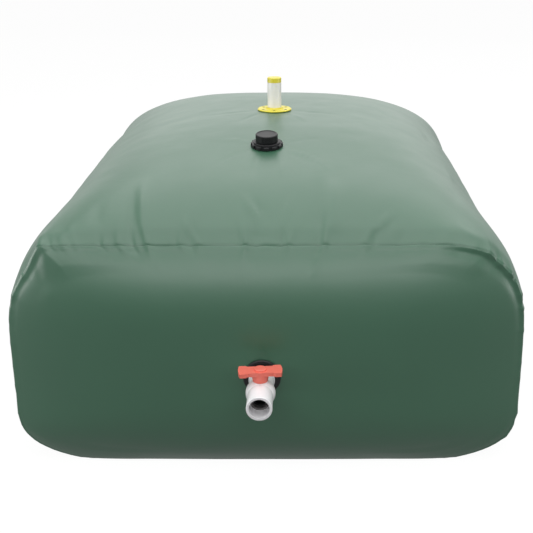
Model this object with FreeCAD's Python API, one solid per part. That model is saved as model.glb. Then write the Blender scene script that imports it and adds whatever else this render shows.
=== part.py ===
import FreeCAD, Part
import math
import os

os.makedirs("parts", exist_ok=True)
V = FreeCAD.Vector
UP = V(0, 0, 1)

# Collapsible water tank, filled and standing on the floor, in millimetres.
# X runs to the right, Y to the back and Z up. The outlet faces -Y.
# The origin is the middle of the flat base.

# Bladder
seam_length = 1507.0
seam_half_width = 598.0
side_swell = 10.0
seam_height = 546.0
crown_rise = 164.0
widest_height = 173.0
floor_dip = 7.0
panel_bulge = 64.0
panel_roundness = 3.3
sheet = 2.4

# Squareness of the cross section: 2 is an ellipse, more is squarer
lower_power = 4.2
crown_power = 2.9
seam_power = 5.7
power_blend = 4.6

# Points that each half of a section is drawn through
top_point_count = 36
low_point_count = 26
band_top_point_count = 120
band_low_point_count = 80

# Outlines from mid length to the seam, and from the panel's middle to the seam
half_station_count = 8
panel_ring_count = 7

# Swell of the sides and rise of the crown along the length
side_spread = 3.7
side_sharpness = 1.0
crown_spread = 2.9
crown_sharpness = 1.38

# Lap band where each end panel is welded over the wrapped sheet
band_width = 12.0
band_lead = 5.0
band_thickness = 1.8
gather_height = 1.6
gather_pitch = 38.0

# Clearances
thread_clearance = 0.05
running_clearance = 0.08
seal_gap = 0.1

# Outlet through the front panel
outlet_x = -9.0
outlet_height = 250.0
outlet_pad_radius = 52.0
spigot_radius = 21.0
spigot_wall = 4.0
spigot_reach = 44.0
inner_flange_radius = 40.0
inner_flange_thickness = 4.0
gasket_thickness = 2.5
nut_radius = 43.0
nut_plate = 6.0
nut_hub_flats = 62.0
nut_hub_height = 6.0

# Ball valve, its axis level
valve_start = 13.0
valve_end = 156.0
valve_centre = 80.0
socket_radius = 28.5
outlet_bore_radius = 22.4
chamber_radius = 22.0
housing_radius = 33.2
ball_radius = 21.0
ball_bore_radius = 14.0
seat_width = 5.0
carrier_length = 14.0
carrier_bore_radius = 17.0
stem_radius = 7.0
stem_square = 9.0
stem_end_drop = 8.0
stem_groove_depth = 1.8
stem_groove_width = 2.6
stem_groove_heights = (24.5, 29.5)
tongue_width = 5.8
tongue_depth = 4.3
neck_radius = 14.0
neck_top = 36.0
handle_turn = 5.0

# T handle
handle_length = 97.0
handle_width = 36.0
paddle_width = 44.0
paddle_length = 20.0
arm_thickness = 9.0
handle_top = 57.0
hub_radius = 19.0
hub_height = 26.5
hub_foot_wall = 2.0
hub_taper_height = 12.0
button_radius = 13.8
button_height = 4.0
button_skirt = 8.0
screw_radius = 2.4
screw_length = 16.0
screw_sink = 4.5

# Fill port on the top near the front
fill_x = -7.5
fill_y = -391.0
fill_neck_radius = 25.0
fill_neck_wall = 4.0
fill_neck_height = 27.0
fill_nut_radius = 41.0
fill_nut_plate = 9.0
fill_step_radius = 34.0
fill_step_height = 12.5
fill_notch_count = 12
fill_cap_radius = 28.2
fill_cap_top = 3.5
fill_cap_skirt_gap = 1.0
fill_cap_rib_count = 40

# Breather in the middle of the top
vent_x = 1.5
vent_y = -10.0
vent_flange_radius = 49.0
vent_flange_thickness = 6.5
vent_collar_radius = 25.5
vent_collar_height = 11.0
vent_pipe_radius = 20.0
vent_pipe_wall = 3.0
vent_pipe_top = 82.0
vent_cap_height = 14.0
vent_plug_depth = 14.0
vent_groove_up = 4.0
vent_groove_depth = 1.3
vent_groove_width = 2.0
vent_screw_count = 6
vent_screw_circle = 37.0
vent_screw_radius = 2.4
vent_screw_head = 4.5

# Seats pressed flat into the top sheet under the fittings
seat_depth = 1.0
seat_margin = 4.0
doubler = 3.2


def swell(t, spread, sharpness):
    """One at mid length, zero at the end seams."""
    return max(0.0, 1.0 - abs(t) ** spread) ** (1.0 / sharpness)


def top_height(y):
    """Height of the sheet on the centre line."""
    t = 2 * y / seam_length
    return seam_height + crown_rise * swell(t, crown_spread, crown_sharpness)


def section_point(t, angle, outset):
    """Point of the cross section at station t, moved out by outset."""
    c = round(math.cos(angle), 12)
    s = round(math.sin(angle), 12)
    half = seam_half_width + side_swell * swell(t, side_spread, side_sharpness) + outset
    if s >= 0:
        power = crown_power + (seam_power - crown_power) * abs(t) ** power_blend
        reach = top_height(t * seam_length / 2) - widest_height + outset
    else:
        power = lower_power
        reach = widest_height + floor_dip + outset
    x = half * math.copysign(abs(c) ** (2 / power), c)
    z = widest_height + reach * math.copysign(abs(s) ** (2 / power), s)
    return x, z


def spread_angles(t, start, end, count):
    """Angles whose points are close together where the section turns sharply."""
    steps = 480
    turn_weight = 120.0
    angles = [start + (end - start) * i / steps for i in range(steps + 1)]
    points = [section_point(t, angle, 0.0) for angle in angles]
    measure = [0.0]
    heading = None
    for (x0, z0), (x1, z1) in zip(points, points[1:]):
        new_heading = math.atan2(z1 - z0, x1 - x0)
        turn = 0.0
        if heading is not None:
            turn = abs((new_heading - heading + math.pi) % (2 * math.pi) - math.pi)
        heading = new_heading
        measure.append(measure[-1] + math.hypot(x1 - x0, z1 - z0) + turn_weight * turn)
    chosen = []
    index = 0
    for i in range(count + 1):
        target = measure[-1] * i / count
        while index < steps and measure[index + 1] < target:
            index += 1
        span = measure[index + 1] - measure[index] if index < steps else 1.0
        part = (target - measure[index]) / span if index < steps else 0.0
        chosen.append(angles[min(index, steps)] + (end - start) / steps * part)
    chosen[0] = start
    chosen[-1] = end
    return chosen


def half_sections(t, count_top, count_low):
    """Angles of the upper and of the lower half of a section."""
    upper = spread_angles(t, 0.0, math.pi, count_top)
    lower = spread_angles(t, math.pi, 2 * math.pi, count_low)
    return upper, lower


def run_fractions(points):
    """Share of the length reached at each point of a row."""
    run = [0.0]
    for start, end in zip(points, points[1:]):
        run.append(run[-1] + (end - start).Length)
    return [length / run[-1] for length in run]


def loop(upper, lower, fractions):
    """Closed flat outline, smooth over its upper and over its lower half."""
    edges = []
    for points, shares in zip((upper, lower), fractions):
        curve = Part.BSplineCurve()
        curve.interpolate(Points=points, Parameters=shares)
        edges.append(curve.toShape())
    return Part.Wire(edges)


def space_above(z):
    """Large block whose underside is at z."""
    size = 4 * seam_length
    return Part.makeBox(size, size, size, V(-size / 2, -size / 2, z))


def through(loops, floor, straight):
    """Solid through a row of outlines, cut flat by the floor. Straight runs lie between them or a smooth skin."""
    return Part.makeLoft(loops, True, straight).common(space_above(floor))


def section_rows(t, y, outset, upper, lower):
    """Points of the upper and of the lower half of a section."""
    rows = []
    for angles in (upper, lower):
        rows.append([V(x, y, z) for x, z in (section_point(t, a, outset) for a in angles)])
    return rows


def seam_fractions():
    """Shares of the length along both halves of the seam."""
    upper, lower = half_sections(1.0, top_point_count, low_point_count)
    return [run_fractions(row) for row in section_rows(1.0, 0.0, 0.0, upper, lower)]


def bladder_core(outset, floor):
    """Solid inside the wrapped sheet."""
    fractions = seam_fractions()
    loops = []
    for i in range(-half_station_count, half_station_count + 1):
        t = math.sin(math.pi / 2 * i / half_station_count)
        upper, lower = half_sections(t, top_point_count, low_point_count)
        rows = section_rows(t, t * seam_length / 2, outset, upper, lower)
        loops.append(loop(rows[0], rows[1], fractions))
    return through(loops, floor, False)


def panel_core(outset, floor, shift):
    """Solid under the domed end panel, flat at the seam and at its middle."""
    fractions = seam_fractions()
    centre = V(outlet_x, 0, outlet_height)
    upper, lower = half_sections(1.0, top_point_count, low_point_count)
    rim = section_rows(1.0, 0.0, outset, upper, lower)
    loops = []
    for i in range(panel_ring_count + 1):
        share = math.sin(math.pi / 2 * i / panel_ring_count)
        depth = panel_bulge * (1 - share ** panel_roundness) + shift * (1 - share ** 6)
        middle = centre + V(0, -seam_length / 2 - depth, 0)
        rows = []
        for points in rim:
            row = []
            for point in points:
                ray = point - centre
                pad = outlet_pad_radius / ray.Length
                row.append(middle + ray * (pad + (1 - pad) * share))
            rows.append(row)
        loops.append(loop(rows[0], rows[1], fractions))
    return through(loops, floor, False)


def gather(angle, run):
    """Height of the small gathers, which sit at the rounded corners."""
    cornering = abs(math.sin(2 * angle)) ** 1.5
    return gather_height * cornering * math.sin(2 * math.pi * run / gather_pitch)


def gathered_row(t, y, lift, share, angles):
    """Points of the lap band's outer face at one distance from the seam."""
    row = []
    run = 0.0
    last = None
    for angle in angles:
        x, z = section_point(t, angle, 0.0)
        if last is not None:
            run += math.hypot(x - last[0], z - last[1])
        last = (x, z)
        outset = band_thickness * lift + share * gather(angle, run)
        px, pz = section_point(t, angle, outset)
        row.append(V(px, y, pz))
    return row


def band_core():
    """Solid inside the outer face of the front lap band."""
    profile = [(-band_lead, -1.6, 0.0), (-0.5 * band_lead, 0.6, 0.6), (0.0, 1.2, 0.7)]
    profile += [(0.5 * band_width, 1.2, 0.7), (band_width, 0.7, 0.2)]
    upper, lower = half_sections(1.0, band_top_point_count, band_low_point_count)
    fractions = [run_fractions(row) for row in section_rows(1.0, 0.0, 0.0, upper, lower)]
    loops = []
    for along, lift, share in profile:
        y = -seam_length / 2 + along
        t = min(1.0, abs(2 * y / seam_length))
        rows = [gathered_row(t, y, lift, share, angles) for angles in (upper, lower)]
        loops.append(loop(rows[0], rows[1], fractions))
    return through(loops, 0.0, True)


def turned(profile):
    """Solid of revolution about Z from a closed outline of radius and height."""
    wire = Part.makePolygon([V(r, 0, z) for r, z in profile + profile[:1]])
    return Part.Face(wire).revolve(V(0, 0, 0), UP, 360)


def ring(inner, outer, bottom, top):
    """Plain ring about Z."""
    return turned([(inner, bottom), (outer, bottom), (outer, top), (inner, top)])


def rod(radius, bottom, top):
    """Cylinder about Z."""
    return Part.makeCylinder(radius, top - bottom, V(0, 0, bottom))


def o_ring(radius, thickness, z):
    """Ring of nearly round section about Z."""
    sides = 8
    profile = []
    for i in range(sides):
        angle = 2 * math.pi * i / sides
        profile.append((radius + thickness / 2 * math.cos(angle), z + thickness / 2 * math.sin(angle)))
    return turned(profile)


def at_outlet(shape):
    """Turn Z to the outlet's axis, from the panel's outer face outward."""
    placed = shape.copy()
    placed.rotate(V(0, 0, 0), V(1, 0, 0), 90)
    placed.translate(V(outlet_x, -seam_length / 2 - panel_bulge, outlet_height))
    return placed


def at_stem(shape):
    """Move a shape about Z onto the stem's axis, its origin at the ball's centre."""
    placed = shape.copy()
    placed.rotate(V(0, 0, 0), UP, handle_turn)
    placed.translate(V(outlet_x, -seam_length / 2 - panel_bulge - valve_centre, outlet_height))
    return placed


def on_top(shape, x, y):
    """Seat a shape about Z on the top sheet, square to the sheet there."""
    slope = math.atan2(top_height(y + 1) - top_height(y - 1), 2)
    normal = V(0, -math.sin(slope), math.cos(slope))
    seat = V(x, y, top_height(y)) - normal * seat_depth
    placed = shape.copy()
    placed.rotate(V(0, 0, 0), V(1, 0, 0), math.degrees(slope))
    placed.translate(seat)
    return placed


def with_seat(wrap, x, y, radius, hole):
    """Flat seat with a doubler inside and a hole, pressed into the top sheet."""
    rim = radius + seat_margin
    clear = 6 * doubler
    pad = on_top(rod(rim, -doubler, 0), x, y)
    above = on_top(rod(radius + 0.5, 0, clear), x, y)
    below = on_top(rod(rim, -clear, -doubler), x, y)
    bore = on_top(rod(hole, -clear, clear), x, y)
    return wrap.fuse(pad).cut([above, below, bore])


def make_body_wrap():
    """One sheet round the bottom, the sides and the top."""
    wrap = bladder_core(0.0, 0.0).cut(bladder_core(-sheet, sheet))
    wrap = with_seat(wrap, fill_x, fill_y, fill_nut_radius, fill_neck_radius + seal_gap)
    wrap = with_seat(wrap, vent_x, vent_y, vent_flange_radius, vent_pipe_radius + seal_gap)
    holes = round_the_vent(rod(vent_screw_radius + seal_gap, -2 * doubler, doubler))
    return wrap.cut([on_top(hole, vent_x, vent_y) for hole in holes])


def make_end_panel():
    """Domed end sheet with its lap band, at the front and without a hole."""
    inner = panel_core(-sheet, sheet, -sheet)
    dome = panel_core(0.0, 0.0, 0.0).cut(inner)
    band = band_core().cut(bladder_core(0.0, -1.0)).cut(inner)
    return dome.fuse(band)


def make_outlet_fitting():
    """Flange inside the sheet and the spigot through it, with a straight bore."""
    back = -sheet - gasket_thickness
    face = back - inner_flange_thickness
    bore = spigot_radius - spigot_wall
    return turned([
        (bore, face), (inner_flange_radius, face), (inner_flange_radius, back),
        (spigot_radius, back), (spigot_radius, spigot_reach - 1.5),
        (spigot_radius - 1.5, spigot_reach), (bore, spigot_reach),
    ])


def make_outlet_gasket():
    """Washer between the inner flange and the sheet."""
    return ring(spigot_radius + seal_gap, inner_flange_radius - 1, -sheet - gasket_thickness, -sheet)


def make_outlet_nut():
    """Round plate with a six-sided hub, screwed onto the spigot."""
    plate = turned([
        (0, 0), (nut_radius - 0.8, 0), (nut_radius, 0.8), (nut_radius, nut_plate - 2.0),
        (nut_radius - 2.0, nut_plate), (0, nut_plate),
    ])
    corner = nut_hub_flats / math.sqrt(3)
    corners = [V(corner * math.cos(math.radians(60 * i)), corner * math.sin(math.radians(60 * i)), 0)
               for i in range(7)]
    hub = Part.Face(Part.makePolygon(corners)).extrude(V(0, 0, nut_plate + nut_hub_height))
    hole = rod(spigot_radius + thread_clearance, -1, valve_end)
    return plate.fuse(hub).cut(hole).removeSplitter()


def socket_start():
    """Where the front socket for the pipe begins, at the carrier's end."""
    return valve_centre + ball_radius + seat_width + carrier_length


def valve_outline():
    """Outer form of the valve body: two sockets and the round ball housing."""
    step = math.sqrt(housing_radius ** 2 - socket_radius ** 2)
    body = rod(socket_radius, valve_start, valve_end)
    rim = ring(socket_radius - 1, socket_radius + 1.2, valve_start, valve_start + 7)
    housing = Part.makeSphere(housing_radius, V(0, 0, valve_centre))
    belt = rod(housing_radius * 0.985, valve_centre - step * 0.35, valve_centre + step * 0.35)
    return body.fuse([rim, housing, belt])


def make_valve_body():
    """Moulded body with the neck for the stem, the ball's chamber and a socket at each end."""
    neck = Part.makeCylinder(neck_radius, neck_top, V(0, 0, valve_centre), V(0, 1, 0))
    body = valve_outline().fuse(neck)
    chamber_start = valve_centre - ball_radius - seat_width
    inside = rod(spigot_radius + thread_clearance, valve_start - 1, spigot_reach + 1)
    inside = inside.fuse(rod(ball_bore_radius, spigot_reach, chamber_start + 1))
    inside = inside.fuse(rod(chamber_radius, chamber_start, socket_start() + 1))
    inside = inside.fuse(rod(outlet_bore_radius, socket_start(), valve_end + 1))
    stem_hole = Part.makeCylinder(stem_radius + running_clearance, neck_top + 1, V(0, 0, valve_centre), V(0, 1, 0))
    body = body.cut(inside.fuse(stem_hole)).removeSplitter()
    lip = [e for e in body.Edges if len(e.Vertexes) == 1 and abs(e.BoundBox.ZMax - valve_end) < 0.01
           and abs(e.BoundBox.XLength - 2 * socket_radius) < 0.1]
    return body.makeFillet(2.0, lip)


def ball_seat(direction):
    """Ring whose hollow face carries the ball, behind or in front of it."""
    outer = chamber_radius - running_clearance
    near = valve_centre + direction * (ball_radius - 5.0)
    far = valve_centre + direction * (ball_radius + seat_width)
    plain = ring(ball_bore_radius, outer, min(near, far), max(near, far))
    return plain.cut(Part.makeSphere(ball_radius + running_clearance, V(0, 0, valve_centre)))


def make_seat_carrier():
    """Screwed ring that holds the front seat, with two slots for its key."""
    end = socket_start()
    carrier = ring(carrier_bore_radius, chamber_radius - thread_clearance, end - carrier_length, end)
    slot = Part.makeBox(4 * chamber_radius, 5, 5, V(-2 * chamber_radius, -2.5, end - 4))
    return carrier.cut(slot)


def make_valve_ball():
    """Bored ball, shut: its bore lies across the pipe. The slot on top takes the tongue."""
    ball = Part.makeSphere(ball_radius)
    bore = Part.makeCylinder(ball_bore_radius, 4 * ball_radius, V(-2 * ball_radius, 0, 0), V(1, 0, 0))
    slot_width = tongue_width + 2 * running_clearance
    slot_floor = ball_radius - tongue_depth - running_clearance
    slot = Part.makeBox(ball_radius, slot_width, ball_radius, V(-ball_radius / 2, -slot_width / 2, slot_floor))
    return ball.cut(bore).cut(slot)


def make_valve_stem():
    """Stem with its tongue, blow-out collar, two seal grooves and a square end."""
    collar_bottom = ball_radius + running_clearance
    groove = stem_radius - stem_groove_depth
    profile = [(0, collar_bottom), (stem_radius, collar_bottom)]
    for z in stem_groove_heights:
        top = z + stem_groove_width
        profile += [(stem_radius, z), (groove, z), (groove, top), (stem_radius, top)]
    profile += [(stem_radius, neck_top + 0.5), (0, neck_top + 0.5)]
    shank = turned(profile)
    half = stem_square / 2
    square_height = handle_top - stem_end_drop - neck_top
    square = Part.makeBox(stem_square, stem_square, square_height, V(-half, -half, neck_top))
    tongue = Part.makeBox(stem_square, tongue_width, 5, V(-half, -tongue_width / 2, ball_radius - tongue_depth))
    pilot = rod(screw_radius, handle_top - screw_sink - screw_length, handle_top)
    return shank.fuse([square, tongue]).cut(pilot).removeSplitter()


def make_stem_seals():
    """Two O-rings in the stem's grooves."""
    room = stem_groove_depth + running_clearance
    middle = stem_radius + running_clearance - room / 2
    seals = [o_ring(middle, room - seal_gap, z + stem_groove_width / 2) for z in stem_groove_heights]
    return Part.makeCompound(seals)


def handle_outline():
    """Plan of the T handle: arms that open into paddles at both ends."""
    tip = handle_length / 2
    neck = tip - paddle_length
    arm = handle_width / 2
    paddle = paddle_width / 2
    start = [V(-neck, -arm, 0), V(neck, -arm, 0)]
    edges = [Part.makeLine(start[0], start[1])]
    edges.append(Part.makeLine(V(neck, -arm, 0), V(neck + 4, -paddle, 0)))
    edges.append(Part.makeLine(V(neck + 4, -paddle, 0), V(tip - 3, -paddle, 0)))
    edges.append(Part.Arc(V(tip - 3, -paddle, 0), V(tip, 0, 0), V(tip - 3, paddle, 0)).toShape())
    edges.append(Part.makeLine(V(tip - 3, paddle, 0), V(neck + 4, paddle, 0)))
    edges.append(Part.makeLine(V(neck + 4, paddle, 0), V(neck, arm, 0)))
    edges.append(Part.makeLine(V(neck, arm, 0), V(-neck, arm, 0)))
    edges.append(Part.makeLine(V(-neck, arm, 0), V(-neck - 4, paddle, 0)))
    edges.append(Part.makeLine(V(-neck - 4, paddle, 0), V(3 - tip, paddle, 0)))
    edges.append(Part.Arc(V(3 - tip, paddle, 0), V(-tip, 0, 0), V(3 - tip, -paddle, 0)).toShape())
    edges.append(Part.makeLine(V(3 - tip, -paddle, 0), V(-neck - 4, -paddle, 0)))
    edges.append(Part.makeLine(V(-neck - 4, -paddle, 0), V(-neck, -arm, 0)))
    return Part.Face(Part.Wire(edges))


def make_valve_handle():
    """T handle with its hub, hollow underneath, and a recess for the screw."""
    bottom = handle_top - arm_thickness
    bar = handle_outline().extrude(V(0, 0, arm_thickness))
    bar.translate(V(0, 0, bottom))
    hub_floor = handle_top - hub_height
    neck_room = neck_radius + 0.6
    hub = turned([
        (0, hub_floor), (neck_room + hub_foot_wall, hub_floor),
        (hub_radius, hub_floor + hub_taper_height), (hub_radius, handle_top), (0, handle_top),
    ])
    side = stem_square + 2 * thread_clearance
    socket_floor = neck_top + 0.6
    socket_height = handle_top - stem_end_drop + thread_clearance - socket_floor
    socket = Part.makeBox(side, side, socket_height, V(-side / 2, -side / 2, socket_floor))
    under = rod(neck_room, hub_floor - 1, socket_floor)
    well = rod(button_skirt, handle_top - screw_sink, handle_top + 1)
    screw_hole = rod(screw_radius + running_clearance, hub_floor, handle_top)
    handle = bar.fuse(hub).cut(under).cut(socket).cut(well).cut(screw_hole).removeSplitter()
    rims = [e for e in handle.Edges if abs(e.BoundBox.ZMin - handle_top) < 0.01
            and e.BoundBox.YMax > handle_width / 2 - 5 and e.BoundBox.XLength > 8]
    return handle.makeFillet(1.5, rims) if rims else handle


def make_handle_screw():
    """Pan-head screw in the hub."""
    seat = handle_top - screw_sink
    return turned([
        (0, seat - screw_length), (screw_radius, seat - screw_length), (screw_radius, seat),
        (2 * screw_radius, seat), (2 * screw_radius, seat + 2.2), (1.5 * screw_radius, seat + 3.0),
        (0, seat + 3.0),
    ])


def make_handle_button():
    """Round cap over the screw, held by its skirt in the hub's recess."""
    skirt = button_skirt - seal_gap
    skirt_end = handle_top - screw_sink + 1.0
    return turned([
        (0, handle_top), (skirt - 1.4, handle_top), (skirt - 1.4, skirt_end), (skirt, skirt_end),
        (skirt, handle_top), (button_radius, handle_top), (button_radius, handle_top + button_height - 1.4),
        (button_radius - 1.4, handle_top + button_height), (0, handle_top + button_height),
    ])


def make_fill_fitting():
    """Flange inside the sheet and the threaded neck through it."""
    back = -doubler - gasket_thickness
    face = back - inner_flange_thickness
    bore = fill_neck_radius - fill_neck_wall
    return turned([
        (bore, face), (inner_flange_radius, face), (inner_flange_radius, back),
        (fill_neck_radius, back), (fill_neck_radius, fill_neck_height - 1),
        (fill_neck_radius - 1, fill_neck_height), (bore, fill_neck_height),
    ])


def make_fill_gasket():
    """Washer between the inner flange and the doubled sheet."""
    return ring(fill_neck_radius + seal_gap, inner_flange_radius - 1, -doubler - gasket_thickness, -doubler)


def make_fill_nut():
    """Round nut with notches cut round its rim and a raised ring."""
    nut = turned([
        (fill_neck_radius + thread_clearance, 0), (fill_nut_radius - 1, 0), (fill_nut_radius, 1),
        (fill_nut_radius, fill_nut_plate - 1.5), (fill_nut_radius - 1.5, fill_nut_plate),
        (fill_step_radius, fill_nut_plate), (fill_step_radius, fill_step_height - 1),
        (fill_step_radius - 1, fill_step_height), (fill_neck_radius + thread_clearance, fill_step_height),
    ])
    notch = Part.makeBox(6, 9, fill_nut_plate, V(fill_nut_radius - 3.2, -4.5, 2.5))
    for i in range(fill_notch_count):
        cutter = notch.copy()
        cutter.rotate(V(0, 0, 0), UP, 360 * (i + 0.5) / fill_notch_count)
        nut = nut.cut(cutter)
    return nut


def ribbed_outline(radius, ribs, depth):
    """Closed plan with flat ribs round it."""
    points = []
    step = 2 * math.pi / ribs
    for i in range(ribs):
        for share, lift in ((0.0, 0.0), (0.5, 0.0), (0.6, 1.0), (0.9, 1.0)):
            angle = step * (i + share)
            r = radius - depth * lift
            points.append(V(r * math.cos(angle), r * math.sin(angle), 0))
    return Part.Face(Part.makePolygon(points + points[:1]))


def make_fill_cap():
    """Screw cap with ribs for the fingers and a flat top."""
    bottom = fill_step_height + fill_cap_skirt_gap
    seal_top = fill_neck_height + 2.0
    top = seal_top + fill_cap_top
    body = ribbed_outline(fill_cap_radius, fill_cap_rib_count, 0.9).extrude(V(0, 0, top - bottom))
    body.translate(V(0, 0, bottom))
    bevel = turned([
        (0, bottom - 1), (fill_cap_radius + 1, bottom - 1), (fill_cap_radius + 1, top - 2.5),
        (fill_cap_radius - 2.0, top), (0, top),
    ])
    hollow = rod(fill_neck_radius + thread_clearance, bottom - 1, seal_top)
    dish = rod(fill_cap_radius - 5, top - 0.8, top + 1)
    return body.common(bevel).cut(hollow).cut(dish)


def make_fill_cap_seal():
    """Flat ring between the cap and the neck's end."""
    return ring(fill_neck_radius - fill_neck_wall, fill_neck_radius - 0.4, fill_neck_height, fill_neck_height + 2.0)


def vent_screw_places():
    """Angles of the screws, one of them at the front."""
    return [360 * i / vent_screw_count - 90 for i in range(vent_screw_count)]


def round_the_vent(shape):
    """Copies of a shape at every screw."""
    copies = []
    for angle in vent_screw_places():
        item = shape.copy()
        item.translate(V(vent_screw_circle, 0, 0))
        item.rotate(V(0, 0, 0), UP, angle)
        copies.append(item)
    return copies


def make_vent_flange():
    """Round flange with a collar and sunk screw holes."""
    flange = turned([
        (vent_pipe_radius + thread_clearance, gasket_thickness), (vent_flange_radius - 1, gasket_thickness),
        (vent_flange_radius, gasket_thickness + 1), (vent_flange_radius, vent_flange_thickness - 1.5),
        (vent_flange_radius - 2.2, vent_flange_thickness + 0.6), (vent_collar_radius + 2, vent_flange_thickness),
        (vent_collar_radius, vent_flange_thickness + 1.5), (vent_collar_radius - 1, vent_collar_height),
        (vent_pipe_radius + thread_clearance, vent_collar_height),
    ])
    hole = rod(vent_screw_radius + seal_gap, 0, vent_flange_thickness + 5)
    sink = rod(vent_screw_head + 0.5, vent_flange_thickness - 2.4, vent_flange_thickness + 5)
    return flange.cut(round_the_vent(hole)).cut(round_the_vent(sink))


def make_vent_gasket():
    """Washer between the flange and the sheet, with the screw holes."""
    washer = ring(vent_pipe_radius + seal_gap, vent_flange_radius - 1, 0, gasket_thickness)
    return washer.cut(round_the_vent(rod(vent_screw_radius + seal_gap, -1, gasket_thickness + 1)))


def make_vent_backing_ring():
    """Ring inside the tank that the screws hold."""
    backing = ring(vent_pipe_radius + seal_gap, vent_flange_radius - 1, -doubler - 5, -doubler)
    return backing.cut(round_the_vent(rod(vent_screw_radius + thread_clearance, -doubler - 6, -doubler + 1)))


def make_vent_screws():
    """Pan-head screws, sunk in the flange."""
    seat = vent_flange_thickness - 2.4
    tip = -doubler - 5
    screw = turned([
        (0, tip), (vent_screw_radius, tip), (vent_screw_radius, seat), (vent_screw_head, seat),
        (vent_screw_head, seat + 1.6), (vent_screw_head - 1.4, seat + 2.4), (0, seat + 2.4),
    ])
    slots = [Part.makeBox(5, 1, 2, V(-2.5, -0.5, seat + 1.2)), Part.makeBox(1, 5, 2, V(-0.5, -2.5, seat + 1.2))]
    return Part.makeCompound(round_the_vent(screw.cut(slots)))


def make_vent_pipe():
    """Straight pipe, open into the tank."""
    bottom = -doubler - 12
    return ring(vent_pipe_radius - vent_pipe_wall, vent_pipe_radius, bottom, vent_pipe_top)


def make_vent_cap():
    """Cap flush with the pipe, with a plug that goes into it."""
    plug = vent_pipe_radius - vent_pipe_wall - seal_gap
    low = vent_pipe_top - vent_plug_depth
    top = vent_pipe_top + vent_cap_height
    groove = low + vent_groove_up
    groove_top = groove + vent_groove_width
    floor = plug - vent_groove_depth
    return turned([
        (0, vent_pipe_top + 2.0), (plug - 2.5, vent_pipe_top + 2.0), (plug - 2.5, low), (plug, low),
        (plug, groove), (floor, groove), (floor, groove_top), (plug, groove_top),
        (plug, vent_pipe_top), (vent_pipe_radius, vent_pipe_top), (vent_pipe_radius, top - 1.6),
        (vent_pipe_radius - 1.6, top), (0, top),
    ])


def make_vent_cap_seal():
    """O-ring in the plug's groove."""
    plug = vent_pipe_radius - vent_pipe_wall - seal_gap
    middle = plug - vent_groove_depth + (vent_groove_depth + seal_gap) / 2
    height = vent_pipe_top - vent_plug_depth + vent_groove_up + vent_groove_width / 2
    return o_ring(middle, vent_groove_depth, height)


def save(name, shape):
    """Write one piece."""
    shape.exportStep("parts/" + name + ".step")


end_panel = make_end_panel()
outlet_hole = at_outlet(rod(spigot_radius + seal_gap, -2 * sheet, sheet))
save("body_wrap", make_body_wrap())
save("front_panel", end_panel.cut(outlet_hole))
save("rear_panel", end_panel.mirror(V(0, 0, 0), V(0, 1, 0)))

save("outlet_fitting", at_outlet(make_outlet_fitting()))
save("outlet_gasket", at_outlet(make_outlet_gasket()))
save("outlet_nut", at_outlet(make_outlet_nut()))
save("valve_body", at_outlet(make_valve_body()))
save("valve_seat_rear", at_outlet(ball_seat(-1)))
save("valve_seat_front", at_outlet(ball_seat(1)))
save("seat_carrier", at_outlet(make_seat_carrier()))
save("valve_ball", at_stem(make_valve_ball()))
save("valve_stem", at_stem(make_valve_stem()))
save("stem_seals", at_stem(make_stem_seals()))
save("valve_handle", at_stem(make_valve_handle()))
save("handle_screw", at_stem(make_handle_screw()))
save("handle_button", at_stem(make_handle_button()))

save("fill_fitting", on_top(make_fill_fitting(), fill_x, fill_y))
save("fill_gasket", on_top(make_fill_gasket(), fill_x, fill_y))
save("fill_nut", on_top(make_fill_nut(), fill_x, fill_y))
save("fill_cap", on_top(make_fill_cap(), fill_x, fill_y))
save("fill_cap_seal", on_top(make_fill_cap_seal(), fill_x, fill_y))

save("vent_flange", on_top(make_vent_flange(), vent_x, vent_y))
save("vent_gasket", on_top(make_vent_gasket(), vent_x, vent_y))
save("vent_backing_ring", on_top(make_vent_backing_ring(), vent_x, vent_y))
save("vent_screws", on_top(make_vent_screws(), vent_x, vent_y))
save("vent_pipe", on_top(make_vent_pipe(), vent_x, vent_y))
save("vent_cap", on_top(make_vent_cap(), vent_x, vent_y))
save("vent_cap_seal", on_top(make_vent_cap_seal(), vent_x, vent_y))
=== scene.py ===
# %% [markdown]
# A collapsible water tank, filled and standing on the floor. One coated sheet
# runs round the bottom, the sides and the top, and a domed sheet closes each
# end. A ball valve sits low on the front, a screw-capped fill port and a
# breather pipe sit on the top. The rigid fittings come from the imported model
# and get finishes here; the bladder is built here, because its look is all
# in soft folds, puckered seams and a satin skin.

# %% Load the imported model
import math
import bpy
import numpy as np
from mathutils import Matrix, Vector


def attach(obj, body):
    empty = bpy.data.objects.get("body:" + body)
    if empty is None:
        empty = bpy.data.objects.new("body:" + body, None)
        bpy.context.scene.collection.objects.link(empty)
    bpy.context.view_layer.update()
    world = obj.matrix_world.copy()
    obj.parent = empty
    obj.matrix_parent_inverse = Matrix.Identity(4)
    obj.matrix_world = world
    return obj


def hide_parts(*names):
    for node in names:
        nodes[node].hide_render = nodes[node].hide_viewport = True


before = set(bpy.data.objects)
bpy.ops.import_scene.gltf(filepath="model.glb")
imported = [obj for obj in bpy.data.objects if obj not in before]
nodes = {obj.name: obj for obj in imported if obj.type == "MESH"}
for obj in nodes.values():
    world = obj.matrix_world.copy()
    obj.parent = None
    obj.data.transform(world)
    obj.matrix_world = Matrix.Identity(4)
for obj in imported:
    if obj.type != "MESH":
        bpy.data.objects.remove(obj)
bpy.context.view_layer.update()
MM = 0.001

# %% [markdown]
# The camera first, since everything is judged through it. The photograph was
# taken from a little over a metre up, square on to the outlet end: the front
# seam and the foot of the tank are both level in it. The sides run together
# quickly, so the camera stood close, about two metres from the front, and the
# picture was cropped a little off its middle, which is the sideways shift.

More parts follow.
